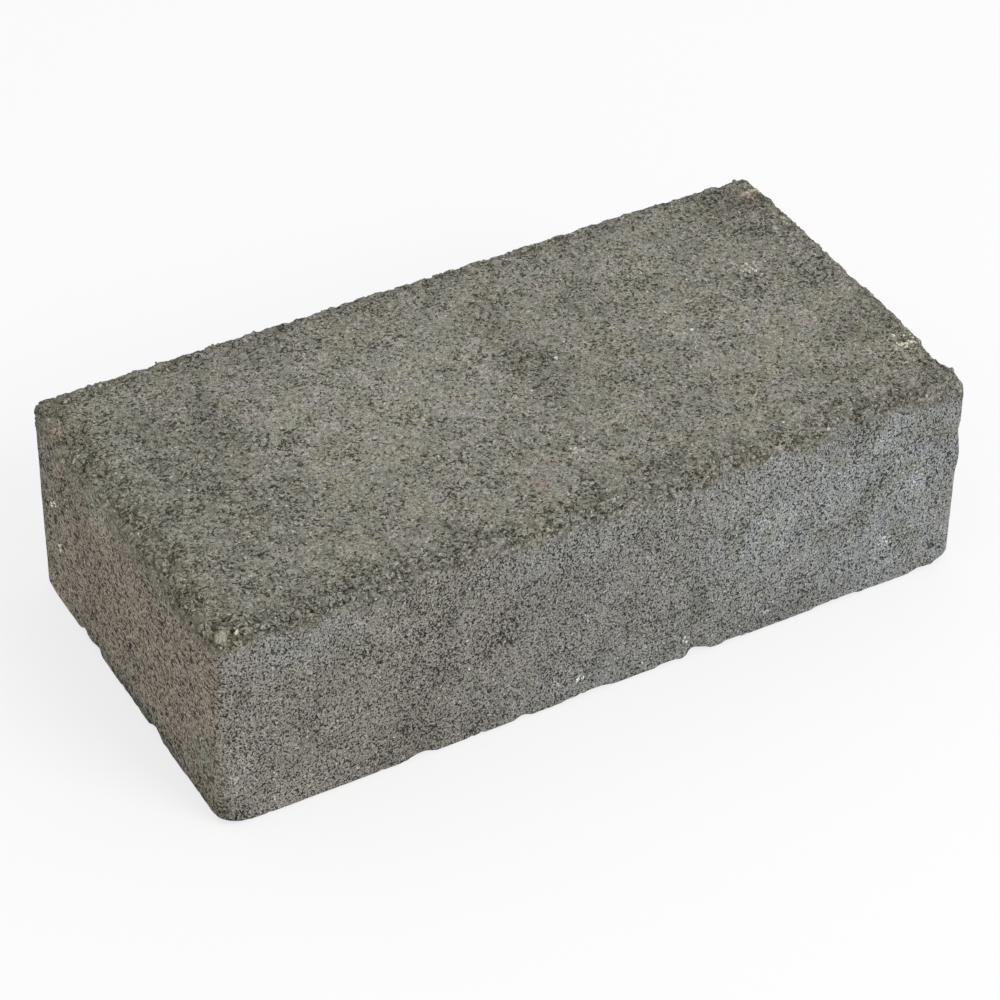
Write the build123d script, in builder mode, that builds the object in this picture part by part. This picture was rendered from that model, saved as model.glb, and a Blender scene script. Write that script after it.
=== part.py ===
from build123d import *
import os

# A rectangular concrete paving stone, pressed in one piece from a semi-dry mix.
#
# The mould box gives four plumb sides that meet in small upright radii. The tamper that presses the fresh
# concrete down leaves a rounded rim around the wearing face, and the board under the mould leaves a tight
# arris around the bedding face.
#
# Millimetres. +X runs along the length, +Y across the width and +Z up. The origin is in the middle of the
# bedding face, so the stone lies on the plane z = 0.

# Driving dimensions
length = 203.0  # end face to end face
width = 102.0  # long side to long side
thickness = 57.0  # bedding face to wearing face
corner_radius = 4.0  # upright edges, as the mould box leaves them
rim_radius = 3.6  # worn rim around the wearing face
arris_radius = 1.5  # tight edge around the bedding face

with BuildPart() as paving_stone:
    # The mould box is the outline that all four sides are pressed against
    with BuildSketch(Plane.XY) as mould_outline:
        RectangleRounded(length, width, corner_radius)
    extrude(amount=thickness)

    # Both rims follow the outline all the way round, over the upright radii
    wearing_rim = edges().group_by(Axis.Z)[-1]
    fillet(wearing_rim, rim_radius)
    bedding_rim = edges().group_by(Axis.Z)[0]
    fillet(bedding_rim, arris_radius)

paving_stone.part.label = "paving_stone"

os.makedirs("parts", exist_ok=True)
export_step(paving_stone.part, "parts/paving_stone.step")

overall = paving_stone.part.bounding_box().size
volume_litres = paving_stone.part.volume / 1e6
print(f"paving_stone: {overall.X:.1f} x {overall.Y:.1f} x {overall.Z:.1f} mm, {volume_litres:.4f} litres")
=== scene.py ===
# %% [markdown]
# This notebook dresses one concrete paving stone. A paving stone is pressed in one go from a damp, sandy
# mix in a steel mould, so it is a single piece: everything that looks like a part of it, such as the coarse
# wearing face, the crumbling rim and the pitted sides, is only a different finish of the same concrete.
# The size is already settled elsewhere, so the first thing to do is to load it and never move it.

# %% Load the stone that the frame holds
import math

import bmesh
import bpy
import numpy as np
from mathutils import Matrix, Vector, noise


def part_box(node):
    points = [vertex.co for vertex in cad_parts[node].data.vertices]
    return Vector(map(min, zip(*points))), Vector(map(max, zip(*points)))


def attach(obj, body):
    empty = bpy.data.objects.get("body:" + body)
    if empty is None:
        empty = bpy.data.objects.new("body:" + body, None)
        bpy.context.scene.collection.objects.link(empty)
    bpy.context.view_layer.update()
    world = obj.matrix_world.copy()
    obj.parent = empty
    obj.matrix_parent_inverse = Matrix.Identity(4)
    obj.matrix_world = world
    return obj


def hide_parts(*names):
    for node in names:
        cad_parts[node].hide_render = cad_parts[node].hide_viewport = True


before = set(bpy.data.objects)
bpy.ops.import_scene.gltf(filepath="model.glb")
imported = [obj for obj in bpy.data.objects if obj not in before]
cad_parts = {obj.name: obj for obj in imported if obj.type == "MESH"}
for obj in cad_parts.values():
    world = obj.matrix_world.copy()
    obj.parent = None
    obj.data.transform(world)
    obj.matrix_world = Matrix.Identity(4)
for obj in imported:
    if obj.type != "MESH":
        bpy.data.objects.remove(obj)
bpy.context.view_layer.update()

stone_low, stone_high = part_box("paving_stone")
length, width, thickness = stone_high - stone_low
print(f"The stone is {length:.4f} m long, {width:.4f} m wide and {thickness:.4f} m thick")

# %% [markdown]
# Everything below is in metres, but sand, pits and chips are easier to think of in millimetres. One named
# factor keeps the two apart, so that a size such as 0.8 * mm reads like the size of a real grain. The plain
# Standard view shows colours as they are written, without a film look on top.

# %% Name a millimetre
mm = 0.001
scene = bpy.context.scene
scene.view_settings.view_transform = "Standard"
print(f"The stone is {length / mm:.0f} x {width / mm:.0f} x {thickness / mm:.0f} mm")

# %% [markdown]
# The photograph was taken from above the near left corner with a long lens, which keeps the long edges
# almost parallel. The camera is placed by its direction and its distance from a point in the middle of the
# stone. A location and three typed angles would do as well, but a direction, a distance and a roll can be
# corrected one at a time. Looking along a direction is what to_track_quat does, and the small roll is a turn
# about the camera's own axis, because nobody holds a camera perfectly level.

# %% Stand the camera where the photographer stood
view_azimuth = math.radians(-29.81)
view_elevation = math.radians(39.33)
view_roll = math.radians(0.80)
view_distance = 0.8993
aim_point = Vector((-1.7, -2.4, 24.93)) * mm
lens_length = 131.94
sensor_width = 36.0

toward_camera = Vector((
    math.sin(view_azimuth) * math.cos(view_elevation),
    -math.cos(view_azimuth) * math.cos(view_elevation),
    math.sin(view_elevation),
))
camera = bpy.data.objects.new("camera", bpy.data.cameras.new("camera"))
camera.data.lens = lens_length
camera.data.sensor_width = sensor_width
level_view = (-toward_camera).to_track_quat("-Z", "Y").to_matrix().to_4x4()
roll_turn = Matrix.Rotation(view_roll, 4, "Z")
standpoint = Matrix.Translation(aim_point + toward_camera * view_distance)
camera.matrix_world = standpoint @ level_view @ roll_turn
scene.collection.objects.link(camera)
scene.camera = camera
print(f"The camera stands at {tuple(round(c, 3) for c in camera.matrix_world.translation)}")

# %% [markdown]
# Materials are trees of nodes, and a tree is easier to read when each node takes one line. The helper below
# adds a node, sets its options and connects or fills its inputs. The small functions after it name the few
# operations that concrete needs: a noise of a given grain size, a soft threshold, simple sums and a mix.

# %% Write short helpers for node trees
def add_node(tree, kind, inputs=None, **options):
    node = tree.nodes.new(kind)
    for option, value in options.items():
        setattr(node, option, value)
    for socket, value in (inputs or {}).items():
        if isinstance(value, bpy.types.NodeSocket):
            tree.links.new(value, node.inputs[socket])
        else:
            node.inputs[socket].default_value = value
    return node


def speckle(tree, place, size, detail=2.0, roughness=0.6):
    """A soft cloud whose blotches are about as wide as size, from 0 to 1."""
    node = add_node(tree, "ShaderNodeTexNoise", {
        "Vector": place, "Scale": 1 / size, "Detail": detail, "Roughness": roughness})
    return node.outputs["Fac"]


def between(tree, value, low, high, to_low=0.0, to_high=1.0):
    """Turns a value between low and high into one between to_low and to_high, and stops at both ends."""
    node = add_node(tree, "ShaderNodeMapRange", {
        "Value": value, "From Min": low, "From Max": high, "To Min": to_low, "To Max": to_high})
    return node.outputs["Result"]


def combine(tree, operation, first, second):
    node = add_node(tree, "ShaderNodeMath", {0: first, 1: second}, operation=operation)
    return node.outputs["Value"]


def multiply_all(tree, factors):
    product = factors[0]
    for factor in factors[1:]:
        product = combine(tree, "MULTIPLY", product, factor)
    return product


def blend_values(tree, share, first, second):
    return add_node(tree, "ShaderNodeMix", {"Factor": share, 2: first, 3: second}).outputs[0]


def blend_colours(tree, share, first, second, blend_type="MIX"):
    node = add_node(tree, "ShaderNodeMix", {"Factor": share, 6: first, 7: second},
                    data_type="RGBA", blend_type=blend_type)
    return node.outputs[2]


def stored(tree, name):
    """Reads a value that the mesh carries at its points."""
    return add_node(tree, "ShaderNodeAttribute", attribute_name=name).outputs["Fac"]


print("The helpers are ready")

# %% [markdown]
# A studio table is a wide pale sheet. It catches the stone's soft shadow, and it throws light back on the
# upright sides. Stronger lamps would whiten the sheet, but they would bleach the stone as well. So the
# camera sees the sheet a little brighter than it is lit, through Is Camera Ray, and the lamps stay plain.

# %% Lay the pale floor
floor_half = 3.0
paper_grey = 0.86
glow_level = 0.72
floor_mesh = bpy.data.meshes.new("studio_floor")
floor_corners = [(-floor_half, -floor_half, 0), (floor_half, -floor_half, 0),
                 (floor_half, floor_half, 0), (-floor_half, floor_half, 0)]
floor_mesh.from_pydata(floor_corners, [], [(0, 1, 2, 3)])
floor = bpy.data.objects.new("studio_floor", floor_mesh)
scene.collection.objects.link(floor)


def seen_directly(tree):
    """1 for the rays that show a surface to the camera, straight, mirrored or through glass, and else 0."""
    ray = add_node(tree, "ShaderNodeLightPath")
    seen = combine(tree, "MAXIMUM", ray.outputs["Is Camera Ray"], ray.outputs["Is Glossy Ray"])
    return combine(tree, "MAXIMUM", seen, ray.outputs["Is Transmission Ray"])


floor_paint = bpy.data.materials.new("pale_floor")
floor_paint.use_nodes = True
floor_tree = floor_paint.node_tree
floor_tree.nodes.clear()
paper = add_node(floor_tree, "ShaderNodeBsdfDiffuse", {"Color": (paper_grey, paper_grey, paper_grey, 1)})
glow = add_node(floor_tree, "ShaderNodeEmission", {"Color": (1, 1, 1, 1), "Strength": 1.0})
glow_share = combine(floor_tree, "MULTIPLY", seen_directly(floor_tree), glow_level)
sheet = add_node(floor_tree, "ShaderNodeMixShader", {0: glow_share, 1: paper.outputs[0], 2: glow.outputs[0]})
add_node(floor_tree, "ShaderNodeOutputMaterial", {"Surface": sheet.outputs[0]})
floor_mesh.materials.append(floor_paint)
print(f"The floor is {2 * floor_half:.0f} m wide")

# %% [markdown]
# The light in the photograph is soft: the crevices are dark but nothing throws a hard shadow, and the top
# and the long side are equally bright, while the short end is darker. A white world gives the even part,
# and one large lamp in front, to the right and above gives the rest.

# %% Light the studio
world = bpy.data.worlds.new("studio_world")
scene.world = world
world.use_nodes = True
sky_tree = world.node_tree
sky_tree.nodes.clear()
sky_level = 0.80
sky_strength = between(sky_tree, seen_directly(sky_tree), 0.0, 1.0, sky_level, 1.0)
sky = add_node(sky_tree, "ShaderNodeBackground", {"Color": (1, 1, 1, 1), "Strength": sky_strength})
add_node(sky_tree, "ShaderNodeOutputWorld", {"Surface": sky.outputs[0]})


def add_soft_lamp(name, azimuth, elevation, distance, size, watts):
    """A square area lamp that faces the stone, placed by compass and height like the camera."""
    turn = math.radians(azimuth)
    rise = math.radians(elevation)
    way = Vector((math.sin(turn) * math.cos(rise), -math.cos(turn) * math.cos(rise), math.sin(rise)))
    lamp = bpy.data.objects.new(name, bpy.data.lights.new(name, "AREA"))
    lamp.data.size = size
    lamp.data.energy = watts
    lamp.location = aim_point + way * distance
    lamp.rotation_mode = "QUATERNION"
    lamp.rotation_quaternion = (-way).to_track_quat("-Z", "Y")
    scene.collection.objects.link(lamp)
    return lamp


key_lamp = add_soft_lamp("key_lamp", azimuth=22, elevation=40, distance=1.6, size=0.7, watts=12.0)
print(f"One key lamp of {key_lamp.data.energy} W over a world of strength {sky_level}")

# %% [markdown]
# The real stone has hollows of a tenth of a millimetre and up, so its mesh has to be fine. A cube under a
# Subdivision Surface modifier would be quick, but it is equally fine everywhere, and the wear is near the
# edges. So each side is a grid whose lines stand closer there. Neighbouring sides have to share their border
# points, or the skin would come apart. The points are counted on a lattice of whole numbers, where equal
# corners are easy to find and to merge.

# %% Grid the six sides of the block
edge_band = 8.0 * mm
edge_step = 0.55 * mm
middle_step = 1.0 * mm


def lattice_lines(size):
    """Where the grid lines cut one side: close together near both edges and wider between them."""
    in_band = round(edge_band / edge_step)
    in_middle = round((size - 2 * edge_band) / middle_step)
    counts = [0, in_band, in_band + in_middle, 2 * in_band + in_middle]
    return np.interp(np.arange(counts[-1] + 1), counts, [0, edge_band, size - edge_band, size])


lines = [lattice_lines(size) for size in (length, width, thickness)]
cells = [len(line) - 1 for line in lines]


def side_quads(axis, far):
    """The lattice corners of every quad on one side of the box, wound so that it faces outwards."""
    across, up = [other for other in range(3) if other != axis]
    columns, rows = np.meshgrid(np.arange(cells[across]), np.arange(cells[up]), indexing="ij")
    corners = np.zeros((columns.size, 4, 3), int)
    corners[:, :, axis] = cells[axis] if far else 0
    for corner, (step_across, step_up) in enumerate(((0, 0), (1, 0), (1, 1), (0, 1))):
        corners[:, corner, across] = columns.ravel() + step_across
        corners[:, corner, up] = rows.ravel() + step_up
    faces_outwards = far != (axis == 1)
    return corners if faces_outwards else corners[:, ::-1]


sides = {
    "left_end": side_quads(0, False),
    "right_end": side_quads(0, True),
    "front": side_quads(1, False),
    "back": side_quads(1, True),
    "bedding": side_quads(2, False),
    "wearing": side_quads(2, True),
}
lattice = np.concatenate(list(sides.values()))
lattice_points, quads = np.unique(lattice.reshape(-1, 3), axis=0, return_inverse=True)
quads = quads.reshape(-1, 4)
box_points = np.stack([lines[axis][lattice_points[:, axis]] for axis in range(3)], axis=1)
box_points += np.array(stone_low)
print(f"{len(quads)} quads share {len(box_points)} points, about {2 * len(quads)} triangles")

# %% [markdown]
# The sharp box becomes the moulded block in two steps, and both use the same idea: keep a core, and set
# every outer point at one radius from it. In elevation the core rounds the rim and the lower arris. In plan
# it rounds the four upright edges. Doing it by formula keeps the quads even, where a bevel would pile them
# up along its seams.

# %% Round the rim, the arris and the upright edges
corner_radius = 4.0 * mm
rim_radius = 3.6 * mm
arris_radius = 1.5 * mm
tiny = 1e-9


def round_edge(inset, height, radius):
    """Moves points near a sharp edge, given by inset and height below it, onto an arc of that radius."""
    core_inset = np.maximum(inset, radius)
    core_height = np.maximum(height, radius)
    away = np.hypot(core_inset - inset, core_height - height)
    near_edge = (inset < radius) & (height < radius)
    pull = np.where(near_edge, radius / np.maximum(away, tiny), 1.0)
    return core_inset - (core_inset - inset) * pull, core_height - (core_height - height) * pull


half_size = np.array((length, width)) / 2
plan = box_points[:, :2]
core = np.clip(plan, corner_radius - half_size, half_size - corner_radius)
outward = plan - core
reach = np.abs(outward).max(axis=1)
outward /= np.maximum(np.linalg.norm(outward, axis=1), tiny)[:, None]
inset = (half_size - np.abs(plan)).min(axis=1)
below_top = thickness - box_points[:, 2]
rim_inset, rim_depth = round_edge(inset, below_top, rim_radius)
near_floor = box_points[:, 2] < thickness / 2
arris_inset, arris_height = round_edge(inset, box_points[:, 2], arris_radius)
new_inset = np.where(near_floor, arris_inset, rim_inset)
height = np.where(near_floor, arris_height, thickness - rim_depth)
in_edge_zone = reach > 0
smooth_plan = np.where(in_edge_zone[:, None], core + outward * (corner_radius - new_inset)[:, None], plan)
smooth_points = np.column_stack([smooth_plan, height])
print(f"The smooth block spans {np.ptp(smooth_points, axis=0).round(4)} m")

# %% [markdown]
# A mesh is made from a list of points and a list of faces, and foreach_get and foreach_set read or write one
# value for all of its points in a single call. The normals say which way is out, and the relief needs them.

# %% Make the mesh of the body
def point_normals(mesh):
    normals = np.zeros(3 * len(mesh.vertices))
    mesh.vertex_normals.foreach_get("vector", normals)
    return normals.reshape(-1, 3)


stone_mesh = bpy.data.meshes.new("paving_stone_surface")
stone_mesh.from_pydata(smooth_points.tolist(), [], quads.tolist())
stone_mesh.update()
normals = point_normals(stone_mesh)
print(f"The mesh has {len(stone_mesh.vertices)} points and {len(stone_mesh.polygons)} faces")

# %% [markdown]
# Relief and stains both need the same three tools: a step with soft ends, a noise that is sampled at every
# point, and a soft spot, which is an ellipsoid that is strongest in its middle and fades to nothing.

# %% Write helpers for noise and soft spots
def smooth_step(value, low, high):
    share = np.clip((value - low) / (high - low), 0, 1)
    return share * share * (3 - 2 * share)


def sample_noise(points, size, seed=0.0, octaves=2):
    """Blender's own fractal noise at every point, about -1 to 1, with lumps about as wide as size."""
    shift = Vector((seed, seed * 1.7, seed * 2.3))
    return np.array([
        noise.fractal(Vector(point) / size + shift, 1.0, 2.0, octaves) for point in points.tolist()])


def soft_spots(spots):
    """The sum of soft ellipsoids, each a centre in mm, its three half sizes in mm and its strength."""
    total = np.zeros(len(smooth_points))
    for centre, half_sizes, strength in spots:
        distance = np.linalg.norm((smooth_points / mm - np.array(centre)) / np.array(half_sizes), axis=1)
        total += strength * (1 - smooth_step(distance, 0.0, 1.0))
    return total


print(f"Halfway between its ends a soft step stands at {smooth_step(0.5, 0, 1):.1f}")

# %% [markdown]
# Now the block gets its relief. Each kind of surface has its own hollows: the wearing face is a bed of sand
# grains with open gaps, the rim has lost grains and lumps, and the sides were drawn against polished steel
# and have only small pits. So each point first learns where it lies. Weight painting could say it too, but a
# distance and a noise give the same border on every run. The coarse skin reaches a few millimetres down the
# sides and ends in a wavy line. Parts of the wearing face are flaky like the rim, and these are soft spots.

# %% Find the coarse skin and the worn rim
skin_reach = 3.2 * mm
end_skin_reach = 5.5 * mm
skin_wave = 3.0 * mm
skin_fade = 1.9 * mm
wave_length = 12 * mm
end_zone = (99 * mm, 101 * mm)
rim_fade = (3.5 * mm, 8.5 * mm)

wave = sample_noise(smooth_points, wave_length, seed=11, octaves=3)
below_rim = thickness - smooth_points[:, 2]
at_ends = smooth_step(np.abs(smooth_points[:, 0]), *end_zone)
skin_border = skin_reach + (end_skin_reach - skin_reach) * at_ends
skin_border += skin_wave * (1 + at_ends) * wave
fade = skin_fade * (1 + at_ends)
coarse = 1 - smooth_step(below_rim, skin_border - fade, skin_border + fade)
edge_inset = (half_size - np.abs(smooth_points[:, :2])).min(axis=1)
rim = coarse * (1 - smooth_step(edge_inset + skin_wave * wave, *rim_fade))
flaky_spots = (
    ((-82, -4, 57), (30, 52, 10), 1),
    ((-55, -46, 57), (50, 15, 10), 0.8),
    ((25, -46, 57), (60, 12, 10), 0.8),
    ((14, 6, 57), (14, 26, 10), 0.7),
    ((68, 10, 57), (28, 22, 10), 0.7),
    ((90, 34, 57), (17, 20, 10), 1),
    ((86, -42, 57), (24, 14, 10), 0.8),
    ((-30, 46, 57), (70, 12, 10), 0.6),
)
flaky = np.clip(rim + coarse * soft_spots(flaky_spots), 0, 1)
bedding = smooth_step(-normals[:, 2], 0.5, 0.9)
print(f"Coarse skin on {coarse.mean():.0%} of the points, rim on {rim.mean():.0%}")

# %% [markdown]
# Relief can be sculpted by hand, made by Displace modifiers or worked out by formula. A formula is used here,
# because each of its parts has the size and the depth of something real and can be changed by itself: the
# slow swell that the tamper leaves, lumps of mortar, grains of sand, the odd missing grain, and on the rim
# the thin crevices between lumps. A crevice runs where a noise passes through zero. The sum is pushed in and
# out along the normal by tenths of a millimetre. The bedding face is set back a little, so that only its
# crests lie on the floor.

# %% Press the relief into the surface
def shape_noise(size, seed, octaves=2):
    return sample_noise(smooth_points, size * mm, seed=seed, octaves=octaves)


lumps = shape_noise(4.5, seed=2)
grains = shape_noise(2.2, seed=3, octaves=3)
losses = smooth_step(shape_noise(3.6, seed=4), 0.3, 0.8)
crevices = 1 - smooth_step(np.abs(shape_noise(3.0, seed=6)), 0.0, 0.16)
forms = {
    "swell": shape_noise(22, seed=1),
    "lumps": lumps,
    "grains": grains,
    "losses": losses,
    "pits": smooth_step(shape_noise(2.6, seed=5), 0.42, 0.75),
    "crevices": crevices,
    "all": np.ones(len(smooth_points)),
}


def press(**depths):
    """The sum of the named forms, each as many mm high or deep as the number says."""
    return mm * sum(depth * forms[form] for form, depth in depths.items())


coarse_relief = press(swell=0.10, lumps=0.12, grains=0.22, losses=-0.35)
rim_relief = press(lumps=0.24, grains=0.24, losses=-0.40, crevices=-0.55)
flake_relief = press(lumps=0.16, crevices=-0.32)
side_relief = press(swell=0.06, lumps=0.05, pits=-0.35)
bed_relief = press(lumps=0.10, grains=0.14, all=-0.20)

relief = side_relief * (1 - coarse) + coarse_relief * coarse
relief = relief + rim_relief * rim + flake_relief * (flaky - rim)
relief = np.where(bedding > 0, relief * (1 - bedding) + bed_relief * bedding, relief)
# The hollow value is painted shade: the colour darkens in sunken grains, in crevices and where grains were
# lost.
painted_hollow_shade = coarse * 0.6 * smooth_step(-grains, 0.1, 0.6) + 0.6 * flaky * crevices + 0.5 * rim * losses
painted_hollow_shade = np.clip(painted_hollow_shade, 0, 1)
print(f"Hollows on {painted_hollow_shade.mean():.0%} of the surface")

# %% [markdown]
# The lower arris is the weakest edge. It is ragged all along, and here and there a few grains have come away
# in a short flat step, so a noise is cut into steps before it lifts the edge. The four lower corners have
# lost the most.

# %% Break the lower arris and its corners
ragged_height = 2.6 * mm
first_step = 0.55
second_step = 0.5
crumble_step = 0.22
corner_loss = 2.4 * mm
corner_reach = 9.0 * mm
corner_sharpness = 1.6

at_arris = 1 - smooth_step(smooth_points[:, 2], 0.0, ragged_height)
at_wall = 1 - smooth_step(edge_inset, 0.5 * mm, 2.5 * mm)
breakage = shape_noise(13, seed=21, octaves=4)
crumbling = shape_noise(2.5, seed=22)
broken_once = smooth_step(breakage, 0.16, 0.22)
broken_twice = smooth_step(breakage, 0.42, 0.50)
lift = mm * (first_step * broken_once + second_step * broken_twice)
lift += mm * crumble_step * np.clip(crumbling, 0, 1)

from_corner = np.linalg.norm(half_size - np.abs(smooth_points[:, :2]), axis=1) / corner_reach
at_corner = np.clip(1 - from_corner, 0, 1) ** corner_sharpness
at_corner *= 1 - smooth_step(smooth_points[:, 2], 0, corner_reach)
corner_drop = corner_loss * (1 + 0.4 * breakage)
print(f"The arris breaks up to {lift.max() / mm:.2f} mm high, the corners {corner_drop.max() / mm:.2f} mm")

# %% [markdown]
# Knocks are what a stone collects when it is thrown on a pallet. Cutting them with Boolean modifiers would
# leave sharp borders, so each one is a soft dent in the relief: where it is, how wide and how deep, in
# millimetres. A negative depth is a bump. A little noise in the distance keeps the dents from being round.

# %% Knock the edges and move the points
knocks = (
    ((-50, -51, 0), 4, 0.8),
    ((-22, -51, 0), 3, 0.7),
    ((26.5, -51, 0), 4, 1.6),
    ((-101.5, 27, 0), 3, 1),
    ((-101.5, 19, 0), 3, 0.8),
    ((-101.5, -14, 0), 3.5, 1),
    ((100.8, -50.3, 41), 2.4, 0.8),
    ((101.2, -50.3, 33), 6, -0.5),
    ((101, -37, 57), 8, 1),
    ((98, 48, 57), 7, 0.6),
    ((101, -50.5, 57), 5, 1),
    ((-99, -20, 57), 5, 0.8),
    ((-70, -50, 57), 6, 0.8),
)
for centre, radius, depth in knocks:
    distance = np.linalg.norm(smooth_points / mm - np.array(centre), axis=1) / radius
    relief -= depth * mm * (1 - smooth_step(distance + 0.25 * lumps, 0.2, 1.0))
stone_points = smooth_points + normals * relief[:, None]
stone_points[:, 2] += lift * at_arris * at_wall + corner_drop * at_corner
stone_points[:, 2] = np.maximum(stone_points[:, 2], 0.0)

stone_mesh.vertices.foreach_set("co", stone_points.ravel())
stone_mesh.update()
stone_mesh.shade_smooth()
print(f"Relief from {relief.min() / mm:.2f} to {relief.max() / mm:.2f} mm")

# %% [markdown]
# Colour on concrete drifts slowly. Cement milk leaves a pale bluish haze on part of the sides, damp sand
# leaves other parts brown, and the wearing face is painted lighter in the middle than at its rim, as light
# and shade fall on it. A painted picture could hold all that, but it would be as coarse as its pixels and
# tied to one unfolding. So these slow changes are plain values on the points of the mesh, each a sum of soft
# spots, and the material reads them. The first three give the hue: bluish haze, brown earth and greenish
# moss.

# %% Paint the haze, the earth and the moss
on_side = 1 - coarse
along = smooth_points[:, 0] / mm
across = smooth_points[:, 1] / mm
on_front = smooth_step(-across, 49, 50)
on_left = smooth_step(-along, 100.2, 101.3)
on_back = smooth_step(across, 49, 50)
on_right = smooth_step(along, 99.5, 100.5)

haze = on_side * np.clip(0.92 * on_front * smooth_step(along, 0, 80) + 0.5 * on_right, 0, 1)
haze += on_side * on_back * smooth_step(-along, -10, 80)
haze_spots = (
    ((40, -51, 30), (18, 6, 14), 0.7),
    ((88, -51, 32), (6, 6, 18), 0.5),
    ((80, -51, 12), (6, 6, 14), 0.7),
    ((-5, -51, 6), (34, 6, 10), 0.5),
    ((-80, -51, 49), (24, 6, 9), 0.6),
    ((-12, -51, 48), (28, 6, 9), 0.6),
    ((60, -51, 36), (30, 6, 16), 0.4),
    ((30, 51, 20), (20, 6, 18), 0.5),
)
haze += on_side * soft_spots(haze_spots)
earth = on_side * np.clip(on_left + 0.3 * on_front * smooth_step(-along, -10, 60), 0, 1)
earth += on_side * on_back * smooth_step(along, 0, 90) * 0.6
earth += coarse * smooth_step(-along, 88, 97)
moss = soft_spots((
    ((-101.5, 46, 34), (8, 15, 30), 0.8),
    ((-101.5, -8, 2), (8, 46, 9), 1),
    ((-101.5, -42, 16), (8, 12, 16), 0.9),
    ((-101.5, 14, 50), (8, 14, 9), 0.8),
    ((-101.5, -16, 51), (8, 40, 8), 0.6),
    ((-88, 6, 57), (26, 60, 10), 0.5),
    ((6, -49, 57), (40, 9, 10), 0.3),
    ((60, 20, 57), (18, 16, 10), 0.3),
))
print(f"Haze on {np.mean(haze > 0.1):.0%} of the points, earth on {np.mean(earth > 0.1):.0%}")

# %% [markdown]
# The fourth value is how light or dark a place is: below zero it is darker than the rest. One noise would
# give patches too, but in places of its own choice. The first rows are patches of the wearing face, the next
# ones of the long side, and the last ones of the left end.

# %% Paint the light and dark patches
# On the wearing face these patches paint light in the middle and shade towards the rim.
shade = soft_spots((
    ((-20, 12, 57), (60, 34, 10), 0.5),
    ((62, 2, 57), (30, 30, 10), 0.4),
    ((11, 14, 57), (9, 34, 10), -0.7),
    ((-66, 20, 57), (9, 34, 10), -0.5),
    ((90, 40, 57), (15, 11, 10), -1.2),
    ((88, -20, 57), (10, 10, 10), -0.9),
    ((58, 28, 57), (16, 12, 10), 0.6),
    ((-82, 26, 57), (10, 12, 10), -0.4),
    ((85, -48, 57), (18, 8, 10), -0.6),
    ((35, -47, 57), (12, 8, 10), -0.3),
    ((-28, -51, 30), (9, 6, 9), -0.4),
    ((26, -51, 14), (6, 6, 13), -0.5),
    ((-52, -51, 12), (9, 6, 16), -0.4),
    ((45, -51, 4), (42, 6, 7), -0.6),
    ((-49, -51, 4), (8, 6, 7), -0.6),
    ((-10, -51, 38), (16, 6, 12), -0.4),
    ((66, -51, 53), (14, 6, 6), -0.8),
    ((98, -51, 53), (8, 6, 7), -0.6),
    ((10, -51, 53), (16, 6, 6), 0.5),
    ((-98, -51, 24), (9, 6, 15), 0.7),
    ((-82, -51, 4), (16, 6, 9), 0.8),
    ((74, -51, 34), (5, 6, 8), -0.5),
    ((46, -51, 31), (13, 6, 11), 0.6),
    ((88, -51, 31), (3.5, 6, 11), 0.9),
    ((79.5, -51, 14), (4, 6, 8), 0.9),
    ((-101.5, 24, 34), (8, 14, 16), -0.3),
    ((-101.5, 50, 34), (8, 10, 40), -0.5),
    ((-101.5, 12, 46), (8, 10, 9), 0.7),
    ((-101.5, -22, 50), (8, 12, 9), 0.6),
    ((-101.5, -12, 0), (8, 42, 8), -1.1),
    ((-101.5, -44, 3), (8, 20, 9), -1.2),
    ((-101.5, 14, 54), (8, 46, 7), 0.6),
    ((-101.5, 43, 1), (8, 15, 9), 0.9),
    ((-101.5, -4, 1), (8, 24, 7), -0.5),
))
# Painted shade darkens the rim at the left end, and the long side grows darker towards the left.
shade -= 0.30 * rim * smooth_step(-along, 92, 98)
shade -= 0.25 * on_front * smooth_step(-along, -40, 50)
print(f"The shade runs from {shade.min():.2f} to {shade.max():.2f}")

# %% [markdown]
# Air was caught against the mould here and there, and left holes of a millimetre or more. The last value
# says where they gather. The material cuts them into the bump and paints shade into them, because they are
# finer than the mesh.

# %% Say where the air holes gather
pitted = on_side * soft_spots((
    ((-29, -51, 29), (10, 6, 9), 1),
    ((-56, -51, 12), (6, 6, 9), 1),
    ((-33, -51, 14), (6, 6, 6), 0.6),
    ((20, -51, 18), (10, 6, 10), 0.5),
    ((77, -51, 34), (6, 6, 8), 0.7),
    ((94.5, -51, 20), (3, 6, 3), 1.5),
    ((94.5, -51, 8), (3, 6, 3), 1.5),
))
print(f"Holes gather on {np.mean(pitted > 0.1):.1%} of the points")

# %% [markdown]
# A mesh can carry any number of named values at its points, and a material reads them back by name. The
# grains of sand that come later stand on the stone's own points, so they borrow the values found there.

# %% Store what the paint needs to know
painted = {
    "coarse": coarse, "haze": haze, "earth": earth, "moss": moss, "shade": shade,
    "flaky": flaky, "painted_hollow_shade": painted_hollow_shade, "pitted": pitted}


def carry(mesh, name, values):
    """Stores one number at each point of a mesh."""
    attribute = mesh.attributes.new(name, "FLOAT", "POINT")
    attribute.data.foreach_set("value", values)


for name, values in painted.items():
    carry(stone_mesh, name, values)
    print(f"{name} runs from {values.min():.2f} to {values.max():.2f}")

# %% [markdown]
# When the finish is baked into a picture, each face needs its own place in it. Smart UV Project would find
# one for each, but it cuts wherever the relief is steep. The block is a box, so it unfolds like cardboard:
# six rectangles laid side by side on a square sheet, with a small gap between them. The bedding face is
# never seen, so it gets half the scale and lies on its side in the spare column.

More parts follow.
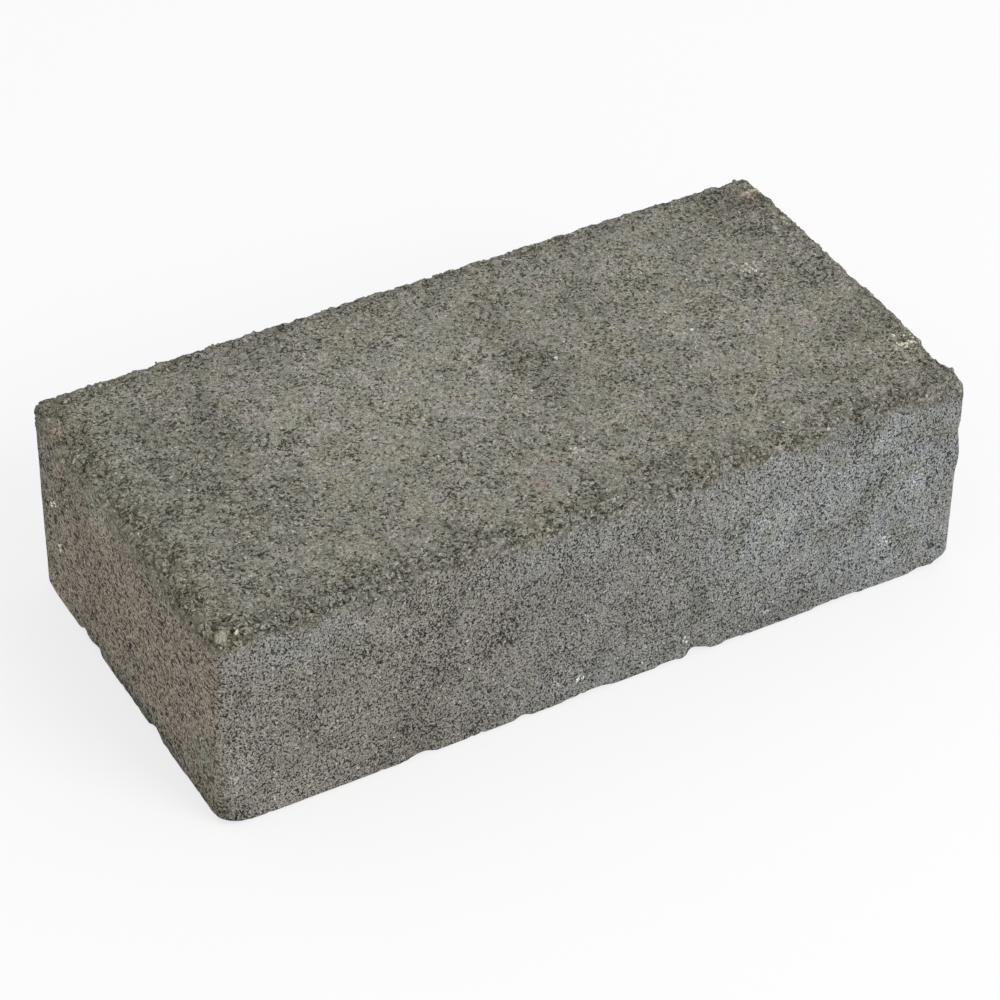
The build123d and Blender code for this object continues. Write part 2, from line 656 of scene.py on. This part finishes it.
# %% Unfold the six sides onto one sheet
sheet_size = 283 * mm
rectangles = {
    "left_end": ((2, 224), 1.0, (1, 2)),
    "right_end": ((106, 224), 1.0, (1, 2)),
    "front": ((2, 106), 1.0, (0, 2)),
    "back": ((2, 165), 1.0, (0, 2)),
    "bedding": ((207, 2), 0.5, (1, 0)),
    "wearing": ((2, 2), 1.0, (0, 1)),
}
unfolded = []
for side, corners in sides.items():
    lower_left, scale, axes = rectangles[side]
    flat = np.stack([lines[axis][corners[:, :, axis]] for axis in axes], axis=-1)
    unfolded.append((np.array(lower_left) * mm + scale * flat) / sheet_size)
bake_map = stone_mesh.uv_layers.new(name="OFBake")
bake_map.data.foreach_set("uv", np.concatenate(unfolded).ravel())
print(f"The unfolded stone fills {2 * (length + thickness) * width / sheet_size ** 2:.0%} of the sheet")

# %% [markdown]
# Sharp sand shows on the wearing face as grains of half a millimetre to three, most of them coated with
# cement. Modelling them in the skin would need a far finer grid, so they are small solids of their own, set
# into it: one ball of twenty triangles is copied, stretched, turned and sunk, thousands of times, with plain
# array arithmetic. All copies become one mesh, because thousands of objects would be slow to handle.

# %% Shape one grain of sand
def unit_ball():
    """The corners and triangles of an icosahedron, as arrays."""
    ball = bmesh.new()
    bmesh.ops.create_icosphere(ball, subdivisions=1, radius=1.0)
    corners = np.array([corner.co for corner in ball.verts])
    triangles = np.array([[corner.index for corner in face.verts] for face in ball.faces])
    ball.free()
    return corners, triangles


ball_corners, ball_triangles = unit_ball()
print(f"One grain has {len(ball_corners)} corners and {len(ball_triangles)} triangles")

# %% [markdown]
# Each grain unfolds too. Seen from above, the ten upper triangles make a flat rosette if each corner is
# drawn as far from the middle as it is tilted from the pole. The ten lower ones make a second rosette, and
# the pair fills one small box of the sheet. Every grain gets a box of its own.

# %% Unfold one grain
def rosette_pair():
    """Where the three corners of each triangle lie in a box that is two units wide and one high."""
    corners = ball_corners[ball_triangles]
    upper = corners.mean(axis=1)[:, 2] > 0
    height = np.where(upper[:, None], corners[:, :, 2], -corners[:, :, 2])
    tilt = np.arccos(np.clip(height, -1, 1))
    turn = np.arctan2(corners[:, :, 1], corners[:, :, 0])
    widest = tilt.max()
    spread = 0.46 * tilt / widest
    middle = np.where(upper, 0.5, 1.5)[:, None]
    return np.stack([middle + spread * np.cos(turn), 0.5 + spread * np.sin(turn)], axis=-1)


rosettes = rosette_pair()
print(f"The rosettes reach from {rosettes.min():.2f} to {rosettes.max():.2f}")

# %% [markdown]
# Every grain is turned another way. Four random numbers, scaled to a length of one, make a quaternion, and
# quaternions drawn like this favour no direction. The dice has a seed, so that every run gives the same bed.

# %% Turn grains at random
dice = np.random.default_rng(7)
stone_normals = point_normals(stone_mesh)


def random_turns(count):
    """Evenly spread random rotations, made from random quaternions."""
    turns = dice.normal(size=(count, 4))
    turns /= np.linalg.norm(turns, axis=1)[:, None]
    w, x, y, z = turns.T
    rows = (
        (1 - 2 * (y * y + z * z), 2 * (x * y - z * w), 2 * (x * z + y * w)),
        (2 * (x * y + z * w), 1 - 2 * (x * x + z * z), 2 * (y * z - x * w)),
        (2 * (x * z - y * w), 2 * (y * z + x * w), 1 - 2 * (x * x + y * y)),
    )
    return np.array(rows).transpose(2, 0, 1)


print(f"The stone offers {len(stone_normals)} seats for grains")

# %% [markdown]
# A grain sits on a point of the stone. It is flattened along the normal and sunk, because the tamper pressed
# it in, and it is moved a little sideways, so that no row of the grid shows. Its corners know how deep they
# lie, so the foot of a grain gets painted shade, as dark as the painted shade of the crevice around it.

# %% Write the function that sets grains
flattening = 0.35
sideways = 0.35 * mm


def set_grains(name, seats, sizes, sink, tone, pink):
    """One mesh of grains: the points they sit on, how wide and how far sunk they are, and their colour."""
    count = len(seats)
    up = stone_normals[seats]
    stretch = dice.uniform(0.7, 1.2, size=(count, 1, 3))
    dents = dice.uniform(0.8, 1.12, size=(count, len(ball_corners), 1))
    bodies = ball_corners * stretch * dents * (sizes / 2)[:, None, None]
    bodies = np.einsum("nij,nkj->nki", random_turns(count), bodies)
    rise = np.einsum("nkj,nj->nk", bodies, up)
    bodies -= flattening * rise[:, :, None] * up[:, None, :]
    above_seat = (1 - flattening) * rise - (sink * sizes)[:, None]
    shift = dice.normal(scale=sideways, size=(count, 3))
    shift -= (shift * up).sum(axis=1)[:, None] * up
    centres = stone_points[seats] + shift - up * (sink * sizes)[:, None]
    points = (bodies + centres[:, None, :]).reshape(-1, 3)
    triangles = ball_triangles + len(ball_corners) * np.arange(count)[:, None, None]

    mesh = bpy.data.meshes.new(name + "_surface")
    mesh.from_pydata(points.tolist(), [], triangles.reshape(-1, 3).tolist())
    mesh.update()
    mesh.shade_smooth()
    for value_name in ("coarse", "haze", "earth", "moss", "shade"):
        carry(mesh, value_name, np.repeat(painted[value_name][seats], len(ball_corners)))
    # The sunk foot of each grain gets painted shade, like the crevice around it.
    carry(mesh, "painted_hollow_shade", (0.7 * (1 - smooth_step(above_seat, -0.05 * mm, 0.12 * mm))).ravel())
    carry(mesh, "grain", np.ones(count * len(ball_corners)))
    carry(mesh, "tone", np.repeat(tone, len(ball_corners)))
    carry(mesh, "pink", np.repeat(pink, len(ball_corners)))

    columns = math.ceil(math.sqrt(count / 2))
    boxes = np.stack([2 * (np.arange(count) % columns), np.arange(count) // columns], axis=-1)
    bake_map = mesh.uv_layers.new(name="OFBake")
    bake_map.data.foreach_set("uv", ((boxes[:, None, None, :] + rosettes) / (2 * columns)).ravel())
    print(f"{name}: {count} grains, {count * len(ball_triangles)} triangles")
    return bpy.data.objects.new(name, mesh)


print(f"Grains are flattened by {flattening:.0%} and moved by about {sideways / mm} mm")

# %% [markdown]
# How many grains, how large, and where? On the wearing face they are small and many. On the rim, where the
# paste has worn off, larger ones stand out. A few are pale flint or reddish, and the rest have the colour of
# the cement that coats them. Geometry Nodes could scatter them over the faces as well. Here the dice picks
# points of the mesh, with the area around each as its weight, or else the finer grid near the edges would
# collect too many. Along the far edges the grains lie deeper, because there the photograph shows a smoother
# outline.

# %% Sow the sand and the rim gravel
def draw_seats(count, weights):
    """Picks points of the stone's mesh at random, more often where weights are high."""
    return dice.choice(len(stone_points), size=count, p=weights / weights.sum())


def draw_tones(count, pale_share):
    """Most grains differ a little from the cement, and a few are much paler."""
    tones = dice.normal(scale=0.10, size=count)
    pale = dice.random(count) < pale_share
    return np.where(pale, dice.uniform(0.35, 0.9, size=count), tones)


quad_areas = np.zeros(len(quads))
stone_mesh.polygons.foreach_get("area", quad_areas)
point_areas = np.bincount(quads.ravel(), np.repeat(quad_areas / 4, 4))
on_skin = point_areas * smooth_step(coarse, 0.3, 0.9)
far_rim = rim * smooth_step(stone_normals[:, 0] + stone_normals[:, 1], 0.1, 0.7)

extra_sink = 0.12
pink_share = 0.006
pink_strength = 0.6
sand_count = 9500
sand_sizes = np.clip(dice.lognormal(mean=-0.36, sigma=0.36, size=sand_count), 0.4, 1.6) * mm
sand_seats = draw_seats(sand_count, on_skin)
sand = set_grains(
    "paving_stone_sand", sand_seats, sand_sizes,
    sink=dice.uniform(-0.04, 0.22, size=sand_count) + extra_sink * (rim + far_rim)[sand_seats],
    tone=draw_tones(sand_count, pale_share=0.03),
    pink=(dice.random(sand_count) < pink_share) * pink_strength)

gravel_count = 4200
gravel_sizes = np.clip(dice.lognormal(mean=0.38, sigma=0.28, size=gravel_count), 0.9, 2.8) * mm
gravel_seats = draw_seats(gravel_count, on_skin * (0.04 + rim))
gravel = set_grains(
    "paving_stone_rim_gravel", gravel_seats, gravel_sizes,
    sink=dice.uniform(0.18, 0.34, size=gravel_count) + extra_sink * far_rim[gravel_seats],
    tone=draw_tones(gravel_count, pale_share=0.08),
    pink=(dice.random(gravel_count) < pink_share) * pink_strength)

# %% [markdown]
# A few spots can be told apart in the photograph: a pale pebble four millimetres wide on the near corner,
# some pink crumbs of brick and a few clusters of white lime. Each row has the centre in mm, how far the
# crumbs scatter, how many there are and how wide, how much paler they are than cement, and how pink.

# %% List the spots that stand out
spots = (
    ((-98.6, -47.6, 56), 0, 1, 5.4, 0.65, 0),
    ((-95, -48.6, 56.5), 0.3, 2, 1.5, 2.00, 0),
    ((-93.6, -47, 57), 0.6, 4, 1.4, 0.70, 0),
    ((-100.6, -43.5, 55.5), 0.5, 4, 1.3, 1.00, 0),
    ((-100.8, -37, 54), 1.2, 6, 1.2, 0.60, 0),
    ((-90.5, -49.8, 55.5), 0.8, 5, 1.5, 0.45, 0),
    ((96.3, 42, 57), 1.3, 18, 1.6, 1.30, 0.6),
    ((94.8, 44.6, 57), 0.8, 5, 1, 1.00, 0.2),
    ((79.5, 14, 57), 1.4, 20, 1.2, 1.80, 0),
    ((77, 12.8, 57), 0.8, 8, 1, 1.70, 0),
    ((60, 15.6, 57), 0.9, 9, 1.3, 0.35, 0.9),
    ((63, 16.6, 57), 0.7, 6, 1.1, 0.80, 0.2),
    ((42, 17, 57), 0.6, 5, 1.1, 0.25, 0.8),
    ((52.5, -0.6, 57), 0.2, 2, 1.1, 2.60, 0),
    ((47.9, -0.4, 57), 0.1, 1, 1.1, 2.20, 0),
    ((95.4, -31, 57), 1.3, 14, 1.3, 1.70, 0),
    ((98.6, -30, 56.5), 0.8, 7, 1.1, 1.90, 0),
    ((-10.5, -36.6, 57), 0.9, 10, 1.4, 0.20, 1),
    ((3.5, -28.6, 57), 0.9, 10, 1.2, 1.30, 0),
    ((9.2, 50.3, 57), 0.4, 5, 1.7, -0.10, 0),
    ((17.2, 4.8, 57), 0.3, 2, 1.1, 2.20, 0),
    ((4.6, 26.4, 57), 0.1, 1, 1.1, 2.20, 0),
    ((52.2, -43, 57), 0.1, 1, 1.3, 3.00, 0),
    ((-93.2, 18, 57), 0.9, 7, 1.5, 0.35, 0),
    ((-101, 37, 54.8), 1.2, 16, 1.6, 0.70, 0.8),
    ((-101.5, 41, 32.3), 0.8, 7, 1.3, 3.40, 0),
    ((-101.5, 37.3, 20.7), 0.8, 7, 1.3, 3.20, 0),
    ((-101.5, 33, 10), 1.3, 9, 1, 1.20, 0),
    ((-6.8, -51, 7), 0.5, 5, 1.2, 3.20, 0),
    ((-13, -51, 7.2), 0.8, 5, 0.7, 2.00, 0),
    ((2.5, -51, 6.6), 2, 8, 0.7, 2.00, 0),
    ((10.6, -51, 5), 1.8, 9, 0.7, 1.80, 0),
    ((22.7, -51, 6.3), 0.4, 4, 1.1, 2.80, 0),
    ((-31.5, -51, 6.5), 0.4, 3, 0.9, 1.80, 0),
    ((45.6, -51, 6), 0.7, 6, 0.9, 1.90, 0),
    ((79.8, -51, 15), 0.9, 12, 1.1, 1.20, 0),
    ((88.3, -51, 33), 1.8, 14, 0.9, 1.30, 0),
    ((-37.4, -51, 31.8), 0.1, 1, 1.1, 2.60, 0),
    ((-37.6, -51, 22.8), 0.2, 2, 1, 2.20, 0),
    ((-44.3, -51, 40.2), 0.1, 1, 1, 2.00, 0),
    ((-87.8, -51, 12), 0.8, 6, 0.7, 1.60, 0),
)
print(f"{len(spots)} spots stand out")

# %% [markdown]
# The table is turned into columns, and each crumb looks up the row that owns it. It takes the point of the
# stone that lies nearest to its place as its seat, and the same function as before sets it.

# %% Set the crumbs of every spot
centres, scatters, counts, widths, tones, pinks = (np.array(column) for column in zip(*spots))
owner = np.repeat(np.arange(len(spots)), counts)
crumb_places = centres[owner] + dice.normal(size=(len(owner), 3)) * scatters[owner, None]
seats = np.array([np.argmin(np.linalg.norm(stone_points / mm - place, axis=1)) for place in crumb_places])
crumb_sizes = widths[owner] * dice.uniform(0.7, 1.1, size=len(owner)) * mm
crumb_tones = tones[owner] * dice.uniform(0.4, 1.1, size=len(owner))
flints = set_grains(
    "paving_stone_flints", seats, crumb_sizes, sink=dice.uniform(-0.06, 0.14, size=len(owner)),
    tone=crumb_tones, pink=pinks[owner] * dice.uniform(0.6, 1.0, size=len(owner)))

# %% [markdown]
# The real block is one mix throughout, so one material paints it all, and the values on the points tell it
# where it is. Two materials would need a seam between skin and sides, and the real border is a slow change.
# The colour starts with a few cements: on the wearing face olive, grey, greenish and rosy ones lie side by
# side in patches of a few millimetres, and on the sides a neutral one turns brown where earth stuck to it
# and bluish where cement milk dried.

# %% Mix the cements
concrete = bpy.data.materials.new("pressed_concrete")
concrete.use_nodes = True
tree = concrete.node_tree
tree.nodes.clear()
place = add_node(tree, "ShaderNodeTexCoord").outputs["Object"]
skin = stored(tree, "coarse")

olive_cement = (0.254, 0.244, 0.196, 1)
grey_cement = (0.239, 0.233, 0.201, 1)
green_cement = (0.210, 0.217, 0.179, 1)
rosy_cement = (0.246, 0.227, 0.207, 1)
loamy_cement = (0.238, 0.225, 0.175, 1)
side_cement = (0.233, 0.228, 0.214, 1)
earthy_cement = (0.276, 0.235, 0.186, 1)
hazy_cement = (0.253, 0.268, 0.271, 1)

cloud = speckle(tree, place, 10 * mm, detail=1.5)
blush = speckle(tree, place, 6 * mm, detail=1.5)
algae = speckle(tree, place, 7 * mm, detail=1.5)
algae_share = combine(tree, "MULTIPLY", between(tree, algae, 0.50, 0.66, 0.0, 0.6),
                      between(tree, stored(tree, "earth"), 0.0, 1.0, 1.0, 0.4))
algae_share = combine(tree, "ADD", algae_share, between(tree, stored(tree, "moss"), 0.0, 1.0, 0.0, 0.7))
top_tone = blend_colours(tree, between(tree, cloud, 0.38, 0.60), olive_cement, grey_cement)
top_tone = blend_colours(tree, between(tree, blush, 0.50, 0.66, 0.0, 0.9), top_tone, rosy_cement)
top_tone = blend_colours(tree, stored(tree, "earth"), top_tone, loamy_cement)
side_tone = blend_colours(tree, stored(tree, "earth"), side_cement, earthy_cement)
side_tone = blend_colours(tree, between(tree, blush, 0.54, 0.70, 0.0, 0.35), side_tone, rosy_cement)
haze_share = combine(tree, "MULTIPLY", stored(tree, "haze"), between(tree, cloud, 0.35, 0.6, 0.5, 1.1))
side_tone = blend_colours(tree, haze_share, side_tone, hazy_cement)
tone = blend_colours(tree, skin, side_tone, top_tone)
tone = blend_colours(tree, algae_share, tone, green_cement)
print(f"The cements take {len(tree.nodes)} nodes")

# %% [markdown]
# Up close the paste is a firm plateau, broken by crisp pits and dotted with pale specks, over a fine grit.
# Each is a noise of its own size: pits are where a noise falls below a threshold, specks are where a finer
# one rises above one, and the threshold drifts so that pits gather in swarms. The pits are sunk in the bump
# and darkened with painted shade, the crumbs are painted lighter where they rise and darker where they sink,
# and the specks are pale grains with a painted highlight. A photographed texture would look right at one
# distance only, and noises stay crisp close by. The same recipe, with two sets of sizes, makes the coarse
# wearing face and the finer sides.

# %% Write the two recipes of the paste
wearing_paste = {
    "pit": 0.82, "pit_level": 0.400, "pit_edge": 0.03, "painted_pit_shade": 0.20, "pit_detail": 2.5,
    "swarm": 9.0, "swarm_shift": 0.05, "crumb": 1.1, "crumb_change": 1.45, "grit": 0.34, "grit_change": 1.5,
    "speck": 0.50, "speck_gain": 0.8}
side_paste = {
    "pit": 0.48, "pit_level": 0.405, "pit_edge": 0.035, "painted_pit_shade": 0.13, "pit_detail": 1.5,
    "swarm": 9.0, "swarm_shift": 0.03, "crumb": 0.6, "crumb_change": 1.1, "grit": 0.30, "grit_change": 1.5,
    "speck": 0.42, "speck_gain": 0.55}
grain = stored(tree, "grain")
calm = between(tree, stored(tree, "shade"), -1.5, 0.5, -0.045, 0.012)
print(f"Pits are {wearing_paste['pit']} mm wide on the wearing face, {side_paste['pit']} mm on the sides")

# %% [markdown]
# The sides slid along steel, so the coordinates of their pattern are stretched a little before it is drawn.
# Then all coordinates are shaken by a noise, which keeps the borders of the pattern from lying straight. The
# function after that follows the recipe and gives two things, a height for the bump and a factor for colour.

# %% Break up the paste
def stretch_place(tree, place, stretch):
    return add_node(tree, "ShaderNodeVectorMath", {0: place, 1: stretch}, operation="MULTIPLY").outputs[0]


def shake(tree, place, size, amount):
    """Shifts the coordinates a little by a noise, so that no pattern keeps its straight borders."""
    wobble = add_node(tree, "ShaderNodeTexNoise", {"Vector": place, "Scale": 1 / size, "Detail": 1.0})
    centred = add_node(tree, "ShaderNodeVectorMath", {
        0: wobble.outputs["Color"], 1: (0.5, 0.5, 0.5)}, operation="SUBTRACT")
    scaled = add_node(tree, "ShaderNodeVectorMath", {
        0: centred.outputs[0], "Scale": amount}, operation="SCALE")
    return add_node(tree, "ShaderNodeVectorMath", {0: place, 1: scaled.outputs[0]}).outputs[0]


def break_paste(tree, place, paste):
    """The height of broken paste, from about 0 to 1, and how much light its colour keeps, painted shade
    included.
    """
    swarm_shift = paste["swarm_shift"]
    swarm = between(tree, speckle(tree, place, paste["swarm"] * mm), 0.3, 0.7, -swarm_shift, swarm_shift)
    level = speckle(tree, place, paste["pit"] * mm, detail=paste["pit_detail"])
    level = combine(tree, "ADD", combine(tree, "ADD", level, swarm), calm)
    pit_level, pit_edge = paste["pit_level"], paste["pit_edge"]
    firm = between(tree, level, pit_level - pit_edge, pit_level + pit_edge)
    firm = combine(tree, "MAXIMUM", firm, combine(tree, "MULTIPLY", grain, 0.75))
    crumb = speckle(tree, place, paste["crumb"] * mm, detail=1.0)
    grit = speckle(tree, place, paste["grit"] * mm, detail=0.0)
    speck = between(tree, speckle(tree, place, paste["speck"] * mm, detail=0.5), 0.64, 0.70)
    half_firm = combine(tree, "MULTIPLY", firm, 0.5)
    height = combine(tree, "ADD", half_firm, combine(tree, "MULTIPLY", crumb, 0.5))
    height = combine(tree, "ADD", height, combine(tree, "MULTIPLY", speck, 0.2))
    crumb_half, grit_half = paste["crumb_change"] / 2, paste["grit_change"] / 2
    # Painted shade darkens the pits and the low crumbs; the crumb crests and the specks get painted
    # highlights.
    light = multiply_all(tree, [
        between(tree, firm, 0.0, 1.0, paste["painted_pit_shade"], 1.0),
        between(tree, crumb, 0.0, 1.0, 1 - crumb_half, 1 + crumb_half),
        between(tree, grit, 0.0, 1.0, 1 - grit_half, 1 + grit_half),
        between(tree, speck, 0.0, 1.0, 1.0, 1 + paste["speck_gain"]),
    ])
    return height, light


wearing_place = shake(tree, place, 1.5 * mm, 0.9 * mm)
side_place = shake(tree, stretch_place(tree, place, (1.0, 0.6, 0.80)), 1.2 * mm, 0.6 * mm)
wearing_height, wearing_light = break_paste(tree, wearing_place, wearing_paste)
side_height, side_light = break_paste(tree, side_place, side_paste)
print(f"With the paste there are {len(tree.nodes)} nodes")

# %% [markdown]
# Two more things break the surface. On the rim and in the worn patches thin cracks wind between the lumps:
# a crack is where a noise is close to its middle value. On the sides a few larger holes are left where air
# was caught against the steel, and they gather in the darker patches and on the brown end. Both are sunk in
# the bump and darkened with painted shade.

# %% Add winding cracks and air holes
crack_spacing = 2.3 * mm
crack_core, crack_width = 0.008, 0.040
painted_crack_shade = 0.38
small_hole = 1.05 * mm
large_hole = 1.9 * mm
painted_hole_shade = 0.28
lost_height = 0.6

worn = between(tree, stored(tree, "flaky"), 0.0, 1.0, 0.15, 1.0)
crack_cloud = speckle(tree, wearing_place, crack_spacing, detail=1.5)
crack_depth = between(tree, speckle(tree, place, 4.0 * mm, detail=1.0), 0.38, 0.56)
crack = combine(tree, "ABSOLUTE", combine(tree, "SUBTRACT", crack_cloud, 0.5), 0.0)
crack = between(tree, crack, crack_core, crack_width, 1.0, 0.0)
crack = multiply_all(tree, [crack, crack_depth, worn, skin])
crack = between(tree, crack, 0.0, 1.0)
crack = combine(tree, "MULTIPLY", crack, between(tree, grain, 0.0, 1.0, 1.0, 0.3))

hole_gather = combine(tree, "ADD", combine(tree, "MULTIPLY", stored(tree, "earth"), 0.03),
                      combine(tree, "MULTIPLY", stored(tree, "pitted"), 0.05))
hole_level = combine(tree, "SUBTRACT", speckle(tree, side_place, small_hole, detail=1.0), hole_gather)
hole = between(tree, hole_level, 0.31, 0.35, 1.0, 0.0)
wide_hole = combine(tree, "SUBTRACT", speckle(tree, side_place, large_hole, detail=2.0),
                    combine(tree, "MULTIPLY", stored(tree, "pitted"), 0.18))
hole = combine(tree, "MAXIMUM", hole, between(tree, wide_hole, 0.255, 0.285, 1.0, 0.0))
hole = combine(tree, "MULTIPLY", hole, between(tree, skin, 0.0, 1.0, 1.0, 0.0))

paste_height = blend_values(tree, skin, side_height, wearing_height)
lost = combine(tree, "MAXIMUM", crack, hole)
paste_height = combine(tree, "SUBTRACT", paste_height, combine(tree, "MULTIPLY", lost, lost_height))
# Painted shade darkens the cracks and the holes.
paste_light = multiply_all(tree, [
    blend_values(tree, skin, side_light, wearing_light),
    between(tree, crack, 0.0, 1.0, 1.0, painted_crack_shade),
    between(tree, hole, 0.0, 1.0, 1.0, painted_hole_shade),
])
bump = add_node(tree, "ShaderNodeBump", {"Height": paste_height, "Distance": 0.8 * mm, "Strength": 1.0})
print(f"With the cracks and holes there are {len(tree.nodes)} nodes")

# %% [markdown]
# The last layer ties colour and shape together: hollows are painted darker than crests, as painted shade,
# the slow patches lighten or darken whole areas, painted light and shade on the wearing face among them, and
# every grain has its own tone. The mould drags faint upright streaks into the sides. All of them are factors
# on the colour, so they can be changed one at a time.

# %% Paint shade into the hollows and tint the faces
warm_dark_tint = (1.03, 0.98, 0.84, 1)
brick = (0.36, 0.245, 0.205, 1)
lime = (0.52, 0.52, 0.48, 1)

drag_place = stretch_place(tree, place, (1.0, 1.0, 0.12))
streaks = between(tree, speckle(tree, drag_place, 1.6 * mm, detail=2.0), 0.3, 0.7, 0.92, 1.08)
light = multiply_all(tree, [
    paste_light,
    blend_values(tree, skin, streaks, 1.0),
    between(tree, speckle(tree, place, 6 * mm, detail=4), 0.3, 0.7, 0.88, 1.12),
    # Slow light and dark patches, and the painted shade of the hollows:
    between(tree, stored(tree, "shade"), -2.0, 1.0, 0.44, 1.28),
    between(tree, stored(tree, "painted_hollow_shade"), 0.0, 1.0, 1.0, 0.58),
    combine(tree, "ADD", stored(tree, "tone"), 1.0),
])
# The darker a place, its painted shade included, the warmer its colour turns.
dark_warmth = between(tree, light, 0.35, 1.0, 0.8, 0.0)
tone = blend_colours(tree, dark_warmth, tone, warm_dark_tint, "MULTIPLY")
tone = blend_colours(tree, 1.0, tone, light, "MULTIPLY")
brick_share = combine(tree, "MULTIPLY", stored(tree, "pink"), 0.8)
tone = blend_colours(tree, brick_share, tone, brick)
lime_share = between(tree, speckle(tree, place, 0.8 * mm, detail=0.5), 0.72, 0.74, 0.0, 0.8)
tone = blend_colours(tree, lime_share, tone, lime)
roughness = between(tree, paste_height, 0.2, 0.8, 0.96, 0.84)

finish = add_node(tree, "ShaderNodeBsdfPrincipled", {
    "Base Color": tone, "Roughness": roughness, "Specular IOR Level": 0.3, "Normal": bump.outputs[0]})
add_node(tree, "ShaderNodeOutputMaterial", {"Surface": finish.outputs[0]})
print(f"The finished concrete has {len(tree.nodes)} nodes")

# %% [markdown]
# Four meshes now make the stone: its body and the three beds of grains. They could be joined into one, but
# apart they stay easy to change. All of them ride on the one body that the stone has, and the finely modelled
# body stands in for the plain one from the frame.

# %% Put the stone in its place
stone = bpy.data.objects.new("paving_stone_body", stone_mesh)
for piece in (stone, sand, gravel, flints):
    scene.collection.objects.link(piece)
    piece.data.materials.append(concrete)
    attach(piece, "root")
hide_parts("paving_stone")
print("The stone has four pieces")
